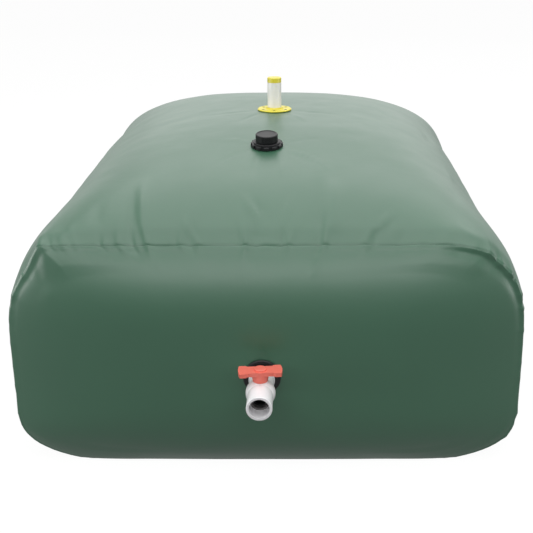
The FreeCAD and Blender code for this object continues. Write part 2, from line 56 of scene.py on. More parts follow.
# %% Camera
camera_place = (0.0869, -2.8276, 1.2419)
camera_tilt = 19.808  # degrees below level
camera_data = bpy.data.cameras.new("camera")
camera = bpy.data.objects.new("camera", camera_data)
bpy.context.scene.collection.objects.link(camera)
camera.location = camera_place
camera.rotation_euler = (math.radians(90 - camera_tilt), 0, 0)
camera_data.sensor_width = 36.0
camera_data.lens = 65.814
camera_data.shift_x = -0.0703
camera_data.clip_end = 200
bpy.context.scene.camera = camera
print("camera at", camera_place, "with a lens of", round(camera_data.lens, 1), "mm")

# %% [markdown]
# Colours are picked as screen values, which are curved. Cycles works on
# linear light, so one function turns a hex value into linear numbers. A
# second one adds a node with its settings and links, so that a material can
# be read from top to bottom as a list of what goes into what.


# %% Colour and node helpers
def srgb(hex_value):
    """Linear colour from a screen hex value."""
    channels = [int(hex_value[i:i + 2], 16) / 255 for i in (1, 3, 5)]
    linear = [c / 12.92 if c <= 0.04045 else ((c + 0.055) / 1.055) ** 2.4 for c in channels]
    return linear + [1.0]


def add(tree, kind, settings=None, **links):
    """One node with its settings; a link names its socket, or gives its number as i0, i1."""
    node = tree.nodes.new(kind)
    for name, value in (settings or {}).items():
        setattr(node, name, value)
    for name, value in links.items():
        numbered = name[0] == "i" and name[1:].isdigit()
        socket = node.inputs[int(name[1:]) if numbered else name.replace("_", " ")]
        if isinstance(value, bpy.types.NodeSocket):
            tree.links.new(value, socket)
        else:
            socket.default_value = value
    return node


def new_material(name):
    """Empty material and its node tree."""
    material = bpy.data.materials.new(name)
    material.use_nodes = True
    material.node_tree.nodes.clear()
    return material, material.node_tree


print("sheet green", [round(v, 3) for v in srgb("#2d5741")])

# %% [markdown]
# The stage is a floor that runs off to a white background. A white floor could
# simply be lit until it is white, but that light would wash out the tank's foot.
# So the camera sees it white, reflections see it about half as bright, and for
# the light that falls on the tank it is dark grey: the foot stays in shade.

# %% Floor
floor_reach = 40.0  # metres each way
floor_grey = 0.06  # what it throws back onto the tank
floor_glow = 0.96  # what the camera sees
mirror_share = 0.55  # how much of the glow a reflection sees


def make_floor():
    """A plain square, white to look at and dark for the light."""
    r = floor_reach
    mesh = bpy.data.meshes.new("floor")
    mesh.from_pydata([(-r, -r, 0), (r, -r, 0), (r, r, 0), (-r, r, 0)], [], [(0, 1, 2, 3)])
    floor = bpy.data.objects.new("floor", mesh)
    bpy.context.scene.collection.objects.link(floor)
    material, tree = new_material("studio_floor")
    path = add(tree, "ShaderNodeLightPath")
    mirrored = add(tree, "ShaderNodeMath", {"operation": "MULTIPLY"},
                   i0=path.outputs["Is Glossy Ray"], i1=mirror_share)
    seen = add(tree, "ShaderNodeMath", {"operation": "MAXIMUM"},
               i0=path.outputs["Is Camera Ray"], i1=mirrored.outputs[0])
    seen = add(tree, "ShaderNodeMath", {"operation": "MAXIMUM"},
               i0=seen.outputs[0], i1=path.outputs["Is Transmission Ray"])
    matt = add(tree, "ShaderNodeBsdfDiffuse", Color=(floor_grey, floor_grey, floor_grey, 1))
    glow = add(tree, "ShaderNodeEmission", Color=(1, 1, 1, 1), Strength=floor_glow)
    both = add(tree, "ShaderNodeAddShader", i0=glow.outputs[0], i1=matt.outputs[0])
    mixed = add(tree, "ShaderNodeMixShader",
                i0=seen.outputs[0], i1=matt.outputs[0], i2=both.outputs[0])
    add(tree, "ShaderNodeOutputMaterial", Surface=mixed.outputs[0])
    mesh.materials.append(material)
    return floor


floor = make_floor()
print("floor", 2 * floor_reach, "m wide")

# %% [markdown]
# Round the stage is a plain white surround. As a light it would reach under
# the tank's overhanging foot, so it is only white to look at and in
# reflections. What it gives as light is dim, and grows from the horizon up.


# %% Surround
def make_surround(low, high):
    """White to look at; as a light it grows from low at the horizon to high overhead."""
    world = bpy.data.worlds.new("studio")
    bpy.context.scene.world = world
    world.use_nodes = True
    tree = world.node_tree
    tree.nodes.clear()
    path = add(tree, "ShaderNodeLightPath")
    seen = add(tree, "ShaderNodeMath", {"operation": "MAXIMUM"},
               i0=path.outputs["Is Camera Ray"], i1=path.outputs["Is Glossy Ray"])
    seen = add(tree, "ShaderNodeMath", {"operation": "MAXIMUM"},
               i0=seen.outputs[0], i1=path.outputs["Is Transmission Ray"])
    place = add(tree, "ShaderNodeTexCoord")
    parts = add(tree, "ShaderNodeSeparateXYZ", Vector=place.outputs["Generated"])
    height = add(tree, "ShaderNodeMapRange", Value=parts.outputs["Z"], To_Min=low, To_Max=high)
    plain = add(tree, "ShaderNodeBackground", Color=(1, 1, 1, 1), Strength=height.outputs[0])
    white = add(tree, "ShaderNodeBackground", Color=(1, 1, 1, 1), Strength=1.0)
    mixed = add(tree, "ShaderNodeMixShader",
                i0=seen.outputs[0], i1=plain.outputs[0], i2=white.outputs[0])
    add(tree, "ShaderNodeOutputWorld", Surface=mixed.outputs[0])
    return world


print("surround", make_surround(0.1, 0.4).name)

# %% [markdown]
# The light is a bright studio. Large soft lamps hang over the tank, from in
# front of it to behind it, because the top shows a broad pale sheen that ends
# where the front panel turns down. Two low lamps brighten the rims at the
# sides. Small lamps would give hard spots that the photograph doesn't have. At
# this level a colour on the front renders about as it is written.

# %% Lamps
lamps = [  # name, place, what it points at, width and height in metres, watts
    ("overhead_front", (0.0, -1.6, 3.6), (0.0, -1.6, 0.0), (4.6, 2.6), 68),
    ("overhead_back", (0.9, 2.0, 3.6), (0.9, 2.0, 0.0), (6.0, 4.6), 118),
    ("front_top", (0.0, -4.7, 3.1), (0.0, -0.8, 0.5), (5.0, 2.2), 90),
    ("back", (0.8, 7.5, 2.4), (0.0, 0.0, 0.6), (7.0, 2.6), 20),
    ("left", (-4.6, -1.6, 0.6), (0.0, -0.2, 0.3), (3.0, 1.0), 75),
    ("right", (4.6, -1.6, 0.6), (0.0, -0.2, 0.3), (3.0, 1.0), 45),
]
for name, place, target, size, power in lamps:
    lamp_data = bpy.data.lights.new(name, "AREA")
    lamp_data.shape = "RECTANGLE"
    lamp_data.size, lamp_data.size_y = size
    lamp_data.energy = power
    lamp = bpy.data.objects.new(name, lamp_data)
    bpy.context.scene.collection.objects.link(lamp)
    lamp.location = place
    lamp.rotation_euler = (Vector(target) - Vector(place)).to_track_quat("-Z", "Y").to_euler()
bpy.context.scene.view_settings.view_transform = "Standard"
print("lamps", len(lamps), "of", sum(lamp[-1] for lamp in lamps), "watts in all")

# %% [markdown]
# The sheet is a woven polyester scrim coated with soft PVC and a thin lacquer.
# The coating is satin: it takes a broad pale sheen from above, while the colour
# itself is a deep green. A picture of cloth would be the quick way; noise and
# bump keep it free of pictures and right at any distance. The weave is one
# thread to the millimetre, too fine for this picture, so it is drawn at 4 mm
# and very faint, and a 70 mm unevenness under it breaks up the sheen.

# %% Coated sheet
thread_size = 4 * MM
cloud_scale = 3.0  # clouds of about 330 mm
slack_scale = 14.0  # humps of about 70 mm


def coated_sheet():
    """Satin green coated cloth."""
    material, tree = new_material("pvc_coated_fabric")
    at = add(tree, "ShaderNodeTexCoord").outputs["Object"]
    cloud = add(tree, "ShaderNodeTexNoise", Vector=at, Scale=cloud_scale, Detail=4.0, Roughness=0.55)
    tone = add(tree, "ShaderNodeMix", {"data_type": "RGBA"}, Factor=cloud.outputs["Fac"],
               i6=srgb("#2d5741"), i7=srgb("#325e46"))
    weave = add(tree, "ShaderNodeTexVoronoi", {"feature": "F1", "distance": "CHEBYCHEV"},
                Vector=at, Scale=1 / thread_size, Randomness=0.35)
    humps = add(tree, "ShaderNodeTexNoise", Vector=at, Scale=slack_scale, Detail=5.0, Roughness=0.6)
    fine = add(tree, "ShaderNodeBump", Strength=0.05, Distance=0.3 * MM,
               Height=weave.outputs["Distance"])
    soft = add(tree, "ShaderNodeBump", Strength=0.25, Distance=2.5 * MM,
               Height=humps.outputs["Fac"], Normal=fine.outputs[0])
    rough = add(tree, "ShaderNodeMapRange", Value=humps.outputs["Fac"], To_Min=0.32, To_Max=0.42)
    skin = add(tree, "ShaderNodeBsdfPrincipled", Base_Color=tone.outputs[2],
               Roughness=rough.outputs[0], Normal=soft.outputs[0], IOR=1.54,
               Coat_Weight=0.3, Coat_Roughness=0.4)
    add(tree, "ShaderNodeOutputMaterial", Surface=skin.outputs[0])
    return material


sheet_finish = coated_sheet()
print("sheet", sheet_finish.name, len(sheet_finish.node_tree.nodes), "nodes")

# %% [markdown]
# Moulded plastics next. They differ in colour and gloss more than in kind, so
# one recipe makes them all: a body colour with a slight cloud in it, fine
# moulding grain as bump, and a roughness that wanders a little.

# %% Moulded plastics
grain_size = 0.6 * MM
grain_depth = 0.15 * MM
mottle_scale = 40.0  # clouds of about 25 mm
darker, lighter = 0.92, 1.06


def moulded(name, hex_value, roughness, ior, mirror=0.5, see_through=0.0):
    """A moulded finish; mirror is the specular level and see_through the light let in."""
    material, tree = new_material(name)
    at = add(tree, "ShaderNodeTexCoord").outputs["Object"]
    cloud = add(tree, "ShaderNodeTexNoise", Vector=at, Scale=mottle_scale, Detail=3.0)
    colour = srgb(hex_value)[:3]
    tone = add(tree, "ShaderNodeMix", {"data_type": "RGBA"}, Factor=cloud.outputs["Fac"],
               i6=[c * darker for c in colour] + [1],
               i7=[min(1, c * lighter) for c in colour] + [1])
    grain = add(tree, "ShaderNodeTexNoise", Vector=at, Scale=1 / grain_size, Detail=2.0)
    bump = add(tree, "ShaderNodeBump", Strength=0.1, Distance=grain_depth,
               Height=grain.outputs["Fac"])
    rough = add(tree, "ShaderNodeMapRange", Value=cloud.outputs["Fac"],
                To_Min=roughness - 0.05, To_Max=roughness + 0.05)
    body = add(tree, "ShaderNodeBsdfPrincipled", Base_Color=tone.outputs[2],
               Roughness=rough.outputs[0], IOR=ior, Normal=bump.outputs[0],
               Specular_IOR_Level=mirror)
    if see_through:
        body.inputs["Subsurface Weight"].default_value = see_through
        body.inputs["Subsurface Radius"].default_value = (0.01, 0.01, 0.008)
        body.inputs["Subsurface Scale"].default_value = 0.4
    add(tree, "ShaderNodeOutputMaterial", Surface=body.outputs[0])
    return material


# %% [markdown]
# Each finish starts from the real material. Rigid PVC and ABS come glossy out
# of a polished mould, glass-filled nylon and acetal come out duller, and rubber
# is dull. The breather pipe is thin milky PVC, so some light goes through it.
# The dark ones get a weaker mirror, for the grain in which their sheen is lost.
# The dark colours of the valve ball and the seat carrier are painted shade, from
# deep in the valve's mouth; the screws' dark colour is partly their dark steel
# and partly painted shade from the recesses they sit in.

# %% The moulded finishes
white_pvc = moulded("white_rigid_pvc", "#f0eff1", 0.25, 1.53)  # clean, sharp highlights
red_abs = moulded("red_abs", "#ea7262", 0.25, 1.52)  # bright and glossy
yellow_pvc = moulded("yellow_rigid_pvc", "#ddd03e", 0.36, 1.53)  # satin, a soft highlight
tube_pvc = moulded("translucent_white_pvc", "#efeee8", 0.3, 1.53, see_through=0.4)  # milky
# The ball's near-black is painted shade: it stands in for the shade deep inside the valve's mouth.
ball_painted_shade = moulded("ball_abs_painted_shade", "#262624", 0.3, 1.5, 0.3)  # dark inside the mouth
black_nylon = moulded("black_nylon", "#141517", 0.42, 1.5, 0.3)  # deep black with a dull sheen
# The carrier's dark grey is painted shade: it stands in for the shaded ring and bore deep in the
# valve's mouth.
carrier_painted_shade = moulded("carrier_acetal_painted_shade", "#5e5b5b", 0.4, 1.48)  # a grey ring in the mouth
black_rubber = moulded("black_rubber", "#18191a", 0.65, 1.5, 0.3)  # matt
# The screws' dark brown is partly the steel's own dark colour and partly painted shade from the
# recesses they sit in.
dark_steel_and_shade = moulded("blackened_steel_and_painted_shade", "#1d1a16", 0.6, 1.5, 0.3)  # its oxide hides the metal
print("materials", len(bpy.data.materials), "with those of the packed model")

# %% [markdown]
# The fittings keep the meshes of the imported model, since their edges and holes
# are already right, and only change their finish. Each finish is listed with
# the pieces that wear it, so that pieces of one material stay alike.

# %% Finishes for the fittings
wearers = [
    (white_pvc, ("valve_body", "valve_stem")),
    (red_abs, ("valve_handle", "handle_button")),
    (yellow_pvc, ("vent_flange", "vent_cap")),
    (tube_pvc, ("vent_pipe",)),
    (ball_painted_shade, ("valve_ball",)),
    (carrier_painted_shade, ("seat_carrier",)),
    (dark_steel_and_shade, ("handle_screw", "vent_screws")),
    (black_nylon, ("outlet_fitting", "outlet_nut", "fill_fitting", "fill_nut", "fill_cap",
                   "vent_backing_ring")),
    (black_rubber, ("outlet_gasket", "valve_seat_rear", "valve_seat_front", "stem_seals",
                    "fill_gasket", "fill_cap_seal", "vent_gasket", "vent_cap_seal")),
]
for finish, names in wearers:
    for name in names:
        mesh = nodes[name].data
        mesh.materials.clear()
        mesh.materials.append(finish)
print("finished", sum(len(names) for finish, names in wearers), "fittings")

# %% [markdown]
# Now the bladder. Its cross section is a superellipse: nearly a rectangle at
# the end seams, rounder at mid length, where the water pushes the crown up and
# the sides out. The same sizes as in the solid model are used here, so the
# skin lies on it.

# %% The bladder's sizes
seam_length = 1507 * MM
seam_half_width = 598 * MM
side_swell = 10 * MM
seam_height = 546 * MM
crown_rise = 164 * MM
widest_height = 173 * MM
floor_dip = 7 * MM
panel_bulge = 64 * MM
panel_roundness = 3.3
outlet_x = -9 * MM
outlet_height = 250 * MM
outlet_pad_radius = 52 * MM
print("bladder", round(2000 * (seam_half_width + side_swell)), "mm wide,",
      round(1000 * (seam_height + crown_rise)), "mm high")

# %% [markdown]
# The sheet lies on a smooth form that could be sculpted by hand, but two short
# formulas keep it exact. One says how far the water swells the sheet at each
# place along the tank, the other gives the cross section there. A power above
# two makes the section squarer than an ellipse. Close to a seam the weld holds
# the sheet straight, a few millimetres off the solid model.

# %% Its form
straight_stretch = 28 * MM
side_spread, side_sharpness = 3.7, 1.0
crown_spread, crown_sharpness = 2.9, 1.38
middle_power, seam_power, power_rise = 2.9, 5.7, 4.6
lower_power = 4.2


def swell(t, spread, sharpness):
    """One at mid length, zero at the end seams, and straight over the last stretch."""
    straight = 1 - straight_stretch / (seam_length / 2)
    inner = np.minimum(np.abs(t), straight)
    risen = np.clip(1 - inner ** spread, 0, 1) ** (1 / sharpness)
    return risen * np.minimum(1, (1 - np.abs(t)) / (1 - straight))


def section(t, angle):
    """Across and up positions on the wrapped sheet; t runs from -1 to 1 along the tank."""
    c, s = np.cos(angle), np.sin(angle)
    half = seam_half_width + side_swell * swell(t, side_spread, side_sharpness)
    top = seam_height + crown_rise * swell(t, crown_spread, crown_sharpness)
    upper_power = middle_power + (seam_power - middle_power) * np.abs(t) ** power_rise
    power = np.where(s >= 0, upper_power, lower_power)
    reach = np.where(s >= 0, top - widest_height, widest_height + floor_dip)
    x = half * np.sign(c) * np.abs(c) ** (2 / power)
    z = widest_height + reach * np.sign(s) * np.abs(s) ** (2 / power)
    return x, z


print("crown at mid length", round(1000 * float(section(0.0, math.pi / 2)[1])), "mm up")

# %% [markdown]
# Points spaced evenly by angle would bunch up on the flat sides and leave the
# rounded corners coarse. So they are spaced by length, and a turn of the
# outline counts as extra length. The upper half gets most of the points,
# because all the puckers that the eye sees are there.

# %% Points round a section
upper_count, lower_count = 560, 60
trial_count = 1500
turn_length = 0.12  # metres of extra length for one radian of turn


def spread_angles(t, start, end, count):
    """Angles spaced by length, closer together at the rounded corners."""
    dense = np.linspace(start, end, trial_count)
    x, z = section(t, dense)
    dx, dz = np.diff(x), np.diff(z)
    heading = np.unwrap(np.arctan2(dz, dx))
    turn = np.abs(np.diff(heading, prepend=heading[0]))
    run = np.concatenate([[0], np.cumsum(np.hypot(dx, dz) + turn_length * turn)])
    return np.interp(np.linspace(0, run[-1], count + 1), run, dense)


def loop_angles(t):
    """Angles all round one section, upper half first."""
    upper = spread_angles(t, 0, math.pi, upper_count)[:-1]
    lower = spread_angles(t, math.pi, 2 * math.pi, lower_count)[:-1]
    return np.concatenate([upper, lower])


print("points round", len(loop_angles(0.0)))

# %% [markdown]
# A grid of points becomes a mesh through one helper. Rows that close on
# themselves make a tube; the normals come from the grid itself, so that folds
# and puckers can be pushed out along them before the mesh is made.


# %% Grid helpers
def grid_normals(rows, outward):
    """Unit normals of a grid whose rows are closed loops; outward is 1 or -1."""
    along = np.gradient(rows, axis=0)
    around = np.roll(rows, -1, axis=1) - np.roll(rows, 1, axis=1)
    normal = outward * np.cross(around, along)
    return normal / np.maximum(np.linalg.norm(normal, axis=2, keepdims=True), 1e-12)


def grid_mesh(name, rows, finish, outward, cap=False):
    """Mesh from a grid of closed rows; cap fills the last row with a fan."""
    count, width = rows.shape[:2]
    points = rows.reshape(-1, 3).tolist()
    faces = []
    for i in range(count - 1):
        for j in range(width):
            k = (j + 1) % width
            faces.append((i * width + j, i * width + k, (i + 1) * width + k, (i + 1) * width + j))
    if cap:
        centre = len(points)
        points.append(rows[-1].mean(axis=0).tolist())
        base = (count - 1) * width
        faces += [(base + j, base + (j + 1) % width, centre) for j in range(width)]
    if outward < 0:
        faces = [face[::-1] for face in faces]
    mesh = bpy.data.meshes.new(name)
    mesh.from_pydata(points, [], faces)
    mesh.materials.append(finish)
    mesh.polygons.foreach_set("use_smooth", [True] * len(mesh.polygons))
    piece = bpy.data.objects.new(name, mesh)
    bpy.context.scene.collection.objects.link(piece)
    return piece


def flat_on_floor(rows):
    """Press whatever hangs below the floor flat onto it."""
    rows[..., 2] = np.maximum(rows[..., 2], 0)
    return rows


# %% [markdown]
# Folds are soft ridges and valleys along short paths. A path is given in
# millimetres on the tank, each with a half width and a height; a negative
# height is a valley. A fold made by pulling fades towards both ends, and a
# pucker that starts at a seam is strongest there and fades away from it.
# Noise would be quicker, but folds have a direction and noise has none.

# %% Folds along paths
end_share = 0.03  # of a path, at each end, where a fold no longer fades


def path_distance(points, path):
    """Distance of every point from a path, and its place along it from 0 to 1."""
    best = np.full(len(points), 1e9)
    place = np.zeros(len(points))
    for i, (start, end) in enumerate(zip(path, path[1:])):
        span = end - start
        t = np.clip((points - start) @ span / (span @ span), 0, 1)
        gap = np.linalg.norm(points - start - t[:, None] * span, axis=1)
        closer = gap < best
        best = np.where(closer, gap, best)
        place = np.where(closer, (i + t) / (len(path) - 1), place)
    return best, place


def fold(rows, path, width, height, from_seam=False):
    """Lift of one fold at every point of a grid, in metres."""
    gap, place = path_distance(rows.reshape(-1, 3), np.array(path, float) * MM)
    if from_seam:
        fade = (1 - place) ** 0.8
    else:
        fade = np.sin(math.pi * np.clip(place, end_share, 1 - end_share)) ** 0.7
    lift = height * MM * fade * np.exp(-(gap / (width * MM)) ** 2)
    return lift.reshape(rows.shape[:2])


# %% [markdown]
# A filled sheet is never quite even: it is a little slack here and a little
# tight there. A few long waves in random directions, added up, give that
# without any edge that the eye could follow. The random numbers start from a
# fixed seed, so that each run gives the same tank.

# %% Slack
wave_count = 14


def slack(rows, size, height, seed):
    """A wandering height in metres, with humps of the given size in mm."""
    lift = np.zeros(rows.shape[:2])
    chance = np.random.default_rng(seed)
    for _ in range(wave_count):
        wave = chance.normal(size=3)
        wave *= 2 * math.pi / (size * MM * chance.uniform(0.7, 1.6)) / np.linalg.norm(wave)
        lift += np.sin(rows @ wave + chance.uniform(0, 2 * math.pi))
    return lift * height * MM / math.sqrt(wave_count)


# %% [markdown]
# The front seam. The sheet swells up steeply behind it, the end panel's rim is
# turned over and welded in front of it as a rounded lap, and a fine valley is
# left between the two. What happens along the seam is written as values at a
# few places, given by where they are on the panel, and eased in between.

# %% Places along the seam
seam_x, seam_z = section(1.0, loop_angles(1.0))
seam_step = np.hypot(np.roll(seam_x, -1) - seam_x, np.roll(seam_z, -1) - seam_z)
seam_run = np.concatenate([[0], np.cumsum(seam_step)[:-1]]) / MM
seam_total = seam_step.sum() / MM


def run_at(x, z):
    """Place along the seam, in mm, of the point nearest to x, z in mm."""
    return seam_run[np.argmin((seam_x / MM - x) ** 2 + (seam_z / MM - z) ** 2)]


def along_seam(knots, ease=7):
    """Values along the whole seam from (x, z, value) knots, eased over a few points."""
    pairs = sorted((run_at(x, z), value) for x, z, value in knots)
    run, values = zip(*pairs)
    rough = np.interp(seam_run, run, values, period=seam_total)
    kernel = np.hanning(2 * ease + 1)
    wide = np.concatenate([rough[-ease:], rough, rough[:ease]])
    return np.convolve(wide, kernel / kernel.sum(), "valid")


print("seam", round(seam_total), "mm round")

# %% [markdown]
# At the upper corners the sheet is gathered, so the rim stands proud and the
# panel sinks behind it in a trough. The trough is deepest where the outline
# turns down at the right, a little softer at the left, and is gone along the
# straight top.

# %% The trough behind the rim
trough_depth = along_seam([  # x, z and depth in mm
    (597, 173, 0.6), (590, 330, 1.2), (583, 400, 2.5), (566, 458, 4.0), (541, 500, 5.0),
    (507, 525, 5.2), (460, 537, 3.8), (428, 541, 1.8), (405, 543, 0.3), (0, 546, 0.2),
    (-470, 536, 0.3), (-500, 528, 0.6), (-530, 506, 1.2), (-552, 478, 1.4), (-571, 450, 1.2),
    (-583, 420, 1.0), (-592, 340, 0.6), (-597, 173, 0.6), (-560, 40, 1.5), (0, -22, 0.0),
    (560, 40, 1.5),
])
trough_place = along_seam([  # x, z and distance from the seam in mm
    (597, 173, 8), (583, 400, 11), (541, 500, 17), (460, 537, 18), (420, 541, 14), (0, 546, 10),
    (-500, 528, 12), (-552, 478, 14), (-583, 420, 10), (-597, 173, 8), (0, -22, 8),
])
rim_forward = 0.4 * trough_depth
print("trough up to", round(float(trough_depth.max()), 1), "mm deep")

# %% [markdown]
# The upper corners of the filled tank stand up as small peaks, higher at the
# left than at the right, and the lower corners sag a little. The solid model has
# them rounder. A shift of the seam itself, which fades away from it on both
# sheets, moves the wrap and the panel together, so that no gap opens.

# %% The drawn-up corners
corner_knots = [  # x, z, shift across and shift up, in mm
    (0, 546, 0, 0), (300, 545, 0, 2), (380, 541, 0, 7), (410, 538, 0, 10), (460, 530, 0, 12),
    (505, 516, 0, 13), (520, 508, 0, 9), (535, 499, 0, 2), (550, 487, 0, 0), (597, 173, 0, 0),
    (560, 50, 0, 0), (505, 18, 0, -5), (450, 7, 0, -8), (380, 1, 0, -5), (290, -4, 0, 0),
    (0, -7, 0, 0), (-290, -4, 0, 0), (-380, 1, 0, -5), (-450, 7, 0, -8), (-505, 18, 0, -5),
    (-560, 50, 0, 0), (-597, 173, 0, 0), (-594, 360, 0, 0), (-587, 421, 4, 0), (-575, 453, 9, 0),
    (-560, 477, 8, -3), (-545, 490, 4, -1), (-532, 500, 3, 12), (-522, 507, 2, 24),
    (-513, 512, 0, 31), (-500, 518, 0, 25), (-470, 527, 0, 16), (-430, 535, 0, 9),
    (-380, 541, 0, 4), (-300, 545, 0, 0),
]
corner_shift = np.zeros((len(seam_x), 3))
corner_shift[:, 0] = along_seam([(x, z, across) for x, z, across, up in corner_knots], 3) * MM
corner_shift[:, 2] = along_seam([(x, z, up) for x, z, across, up in corner_knots], 3) * MM
corner_fade = 1.3  # how sharply the shift ends
print("corners up to", round(float(corner_shift[:, 2].max()) / MM), "mm higher")

# %% [markdown]
# The dark line of the seam is a real valley, where the lap ends and the wrapped
# sheet starts. It could be painted as a dark stripe, but a stripe stays dark
# when the light changes. Its depth wanders, since the weld is pulled in more
# at some places. Next to the seam everything is pushed straight out from it, in
# its own plane, so that both sheets move alike there.

# %% The valley of the seam
valley_least, valley_more = 3.5, 3.5  # mm
valley_places = 90
valley_width = 1.4  # mm
rim_turn = 4  # mm from the seam, where pushes turn from its plane to the sheet's normal
floor_calm = 0.03  # metres above the floor, where the puckers die out
chance = np.random.default_rng(17)
valley = valley_least + valley_more * np.interp(
    seam_run, np.linspace(0, seam_total, valley_places), chance.uniform(0, 1, valley_places) ** 2)
seam_around = np.stack([np.roll(seam_x, -1) - np.roll(seam_x, 1),
                        np.roll(seam_z, -1) - np.roll(seam_z, 1)], axis=1)
rim_out = np.stack([seam_around[:, 1], np.zeros(len(seam_x)), -seam_around[:, 0]], axis=1)
rim_out /= np.linalg.norm(rim_out, axis=1, keepdims=True)
print("valley", round(float(valley.min()), 1), "to", round(float(valley.max()), 1), "mm deep")

# %% [markdown]
# Where the curved sheet is welded to the flat panel there is too much of it, and
# it gathers in short puckers across the seam. Those that can be made out in the
# photograph are placed one by one. Between them come random ones, small and at
# uneven distances, because even ones would look like a machine's pattern.


# %% Puckers
def seam_puckers(seed, placed):
    """Gathers across a seam: place, half width, height, reach and lean, each in mm."""
    chance = np.random.default_rng(seed)
    marks = []
    for x, z, width, height, reach, lean in placed:
        gain = 1.5 if abs(x) < 400 else 0.8  # the straight top shows more than the corners
        marks.append((run_at(x, z), width, gain * height, reach, lean))
    place = chance.uniform(0, 30)
    while place < seam_total:
        size = chance.uniform(0.25, 1.0) ** 2
        side = 1 if chance.uniform() < 0.6 else -1
        width = chance.uniform(4, 9)
        lean = chance.uniform(-0.5, 0.5)
        marks.append((place, width, side * (0.15 + 0.8 * size), 10 + 40 * size, lean))
        place += chance.uniform(16, 70)
    return marks


def pucker_lift(marks, away, reach_share):
    """Lift in metres at one distance from the seam, for every place along it."""
    lift = np.zeros(len(seam_run))
    for place, width, height, reach, lean in marks:
        span = width * (1 + away / reach)
        gap = (seam_run - place - lean * away + seam_total / 2) % seam_total - seam_total / 2
        fade = math.exp(-(away / (reach * reach_share)) ** 1.5)
        lift += height * np.exp(-(gap / span) ** 2) * fade
    return lift * MM


# %% [markdown]
# These are the puckers of the front seam that the photograph shows, from left
# to right and then round both sides. The rear seam isn't in it, so a few of the
# same kind are enough there.

# %% Where the puckers are
front_marks = seam_puckers(3, [
    (-505, 528, 7, 3.2, 34, 0.2), (-488, 533, 5, -1.8, 30, 0.3), (-455, 538, 9, 1.4, 60, 0.3),
    (-372, 543, 7, -1.2, 45, -0.2), (-328, 544, 8, 1.6, 60, -0.1), (-296, 544, 6, -1.5, 60, 0.2),
    (-262, 545, 8, 2.0, 75, 0.25), (-190, 545, 6, 1.5, 40, -0.3), (-170, 545, 5, -1.3, 30, 0.0),
    (-150, 545, 6, 1.4, 42, 0.3), (-45, 546, 7, 1.8, 70, 0.3), (-20, 546, 6, -1.4, 50, 0.1),
    (8, 546, 6, 1.3, 28, 0.0), (34, 546, 5, -1.2, 30, -0.3), (52, 546, 6, 1.5, 40, -0.4),
    (118, 546, 8, -1.4, 90, 0.0), (136, 546, 7, 1.6, 90, 0.0), (224, 545, 8, 1.5, 55, -0.3),
    (246, 545, 6, -1.1, 40, -0.2), (512, 523, 7, 2.4, 26, 0.2), (527, 512, 5, -2.4, 22, 0.0),
    (538, 502, 6, 2.6, 24, 0.2), (556, 476, 6, 3.2, 20, 0.0), (563, 463, 5, -2.5, 20, 0.0),
    (578, 425, 6, 2.6, 20, 0.0), (583, 404, 5, -2.0, 18, 0.0), (586, 390, 5, 1.8, 18, 0.0),
    (-556, 470, 6, 1.6, 20, 0.0), (-580, 425, 6, 2.0, 22, 0.0), (-585, 400, 5, -1.4, 18, 0.0),
    (588, 130, 6, 2.2, 26, 0.2), (582, 100, 7, -2.0, 26, 0.0), (566, 62, 8, 2.6, 30, 0.0),
    (-588, 120, 7, 1.6, 30, 0.0), (-570, 66, 7, -1.6, 30, 0.0),
])
rear_marks = seam_puckers(11, [(x, 545, 7, 1.4, 50, 0.2) for x in (-420, -280, -110, 60, 190, 350)])
print("puckers", len(front_marks), "front,", len(rear_marks), "rear")

# %% [markdown]
# Folds on the sheet away from the seam: a pulled crease over each rear
# shoulder, soft creases that run back from the front puckers, and fine
# wrinkles that start at the two ports, where the sheet is clamped flat. Each
# row is a path, a half width and a height, and the last number of a group
# makes all its folds stronger at once.

# %% Folds of the wrapped sheet
shoulder_folds = [
    ([(-468, -190, 598), (-474, -115, 600), (-476, 88, 598), (-419, 236, 636)], 14, -2.4),
    ([(-492, -190, 584), (-500, -60, 578), (-503, 90, 574), (-452, 250, 615)], 17, 1.6),
    ([(-440, -230, 622), (-446, -60, 622), (-436, 90, 628), (-380, 220, 650)], 14, 1.6),
    ([(-400, -120, 643), (-392, 60, 646), (-340, 190, 660)], 12, -1.2),
    ([(444, -60, 622), (460, 60, 611), (440, 210, 622)], 16, -2.2),
    ([(470, -80, 604), (486, 60, 592), (468, 220, 600)], 17, 1.2),
    ([(458, -430, 606), (470, -330, 598), (466, -230, 604)], 14, 1.6),
    ([(445, -500, 612), (452, -560, 602), (440, -620, 596)], 14, -1.4),
]
seam_creases = [
    ([(-385, -640, 610), (-386, -690, 590), (-380, -722, 574)], 16, -1.4),
    ([(-318, -590, 636), (-310, -670, 604), (-294, -740, 562)], 15, -1.3),
    ([(-296, -580, 638), (-285, -660, 608), (-267, -740, 562)], 13, 3.2),
    ([(-186, -700, 592), (-178, -725, 576), (-165, -748, 555)], 8, 2.4),
    ([(-170, -706, 588), (-158, -732, 570), (-148, -750, 552)], 7, -2.2),
    ([(-55, -640, 630), (-38, -672, 611), (-20, -700, 594), (-5, -745, 559)], 9, 2.6),
    ([(-30, -650, 625), (-8, -690, 600), (10, -735, 567)], 8, -1.8),
    ([(-34, -738, 566), (-10, -743, 562), (14, -748, 556)], 5, -2.4),
    ([(124, -560, 652), (127, -640, 628), (126, -709, 590), (126, -742, 562)], 21, -2.2),
    ([(153, -560, 652), (155, -640, 628), (153, -709, 590), (149, -742, 562)], 20, 3.2),
    ([(52, -650, 622), (44, -700, 597), (38, -738, 566)], 8, 1.2),
    ([(284, -690, 600), (262, -714, 584), (236, -737, 566)], 10, 2.2),
    ([(300, -700, 594), (280, -724, 577), (258, -742, 562)], 10, -1.6),
    ([(430, -690, 566), (452, -720, 552), (470, -744, 540)], 12, 2.0),
    ([(-487, -626, 560), (-492, -690, 548), (-500, -738, 532)], 16, 1.9),
    ([(-455, -600, 588), (-462, -690, 566), (-470, -740, 545)], 16, -1.4),
]
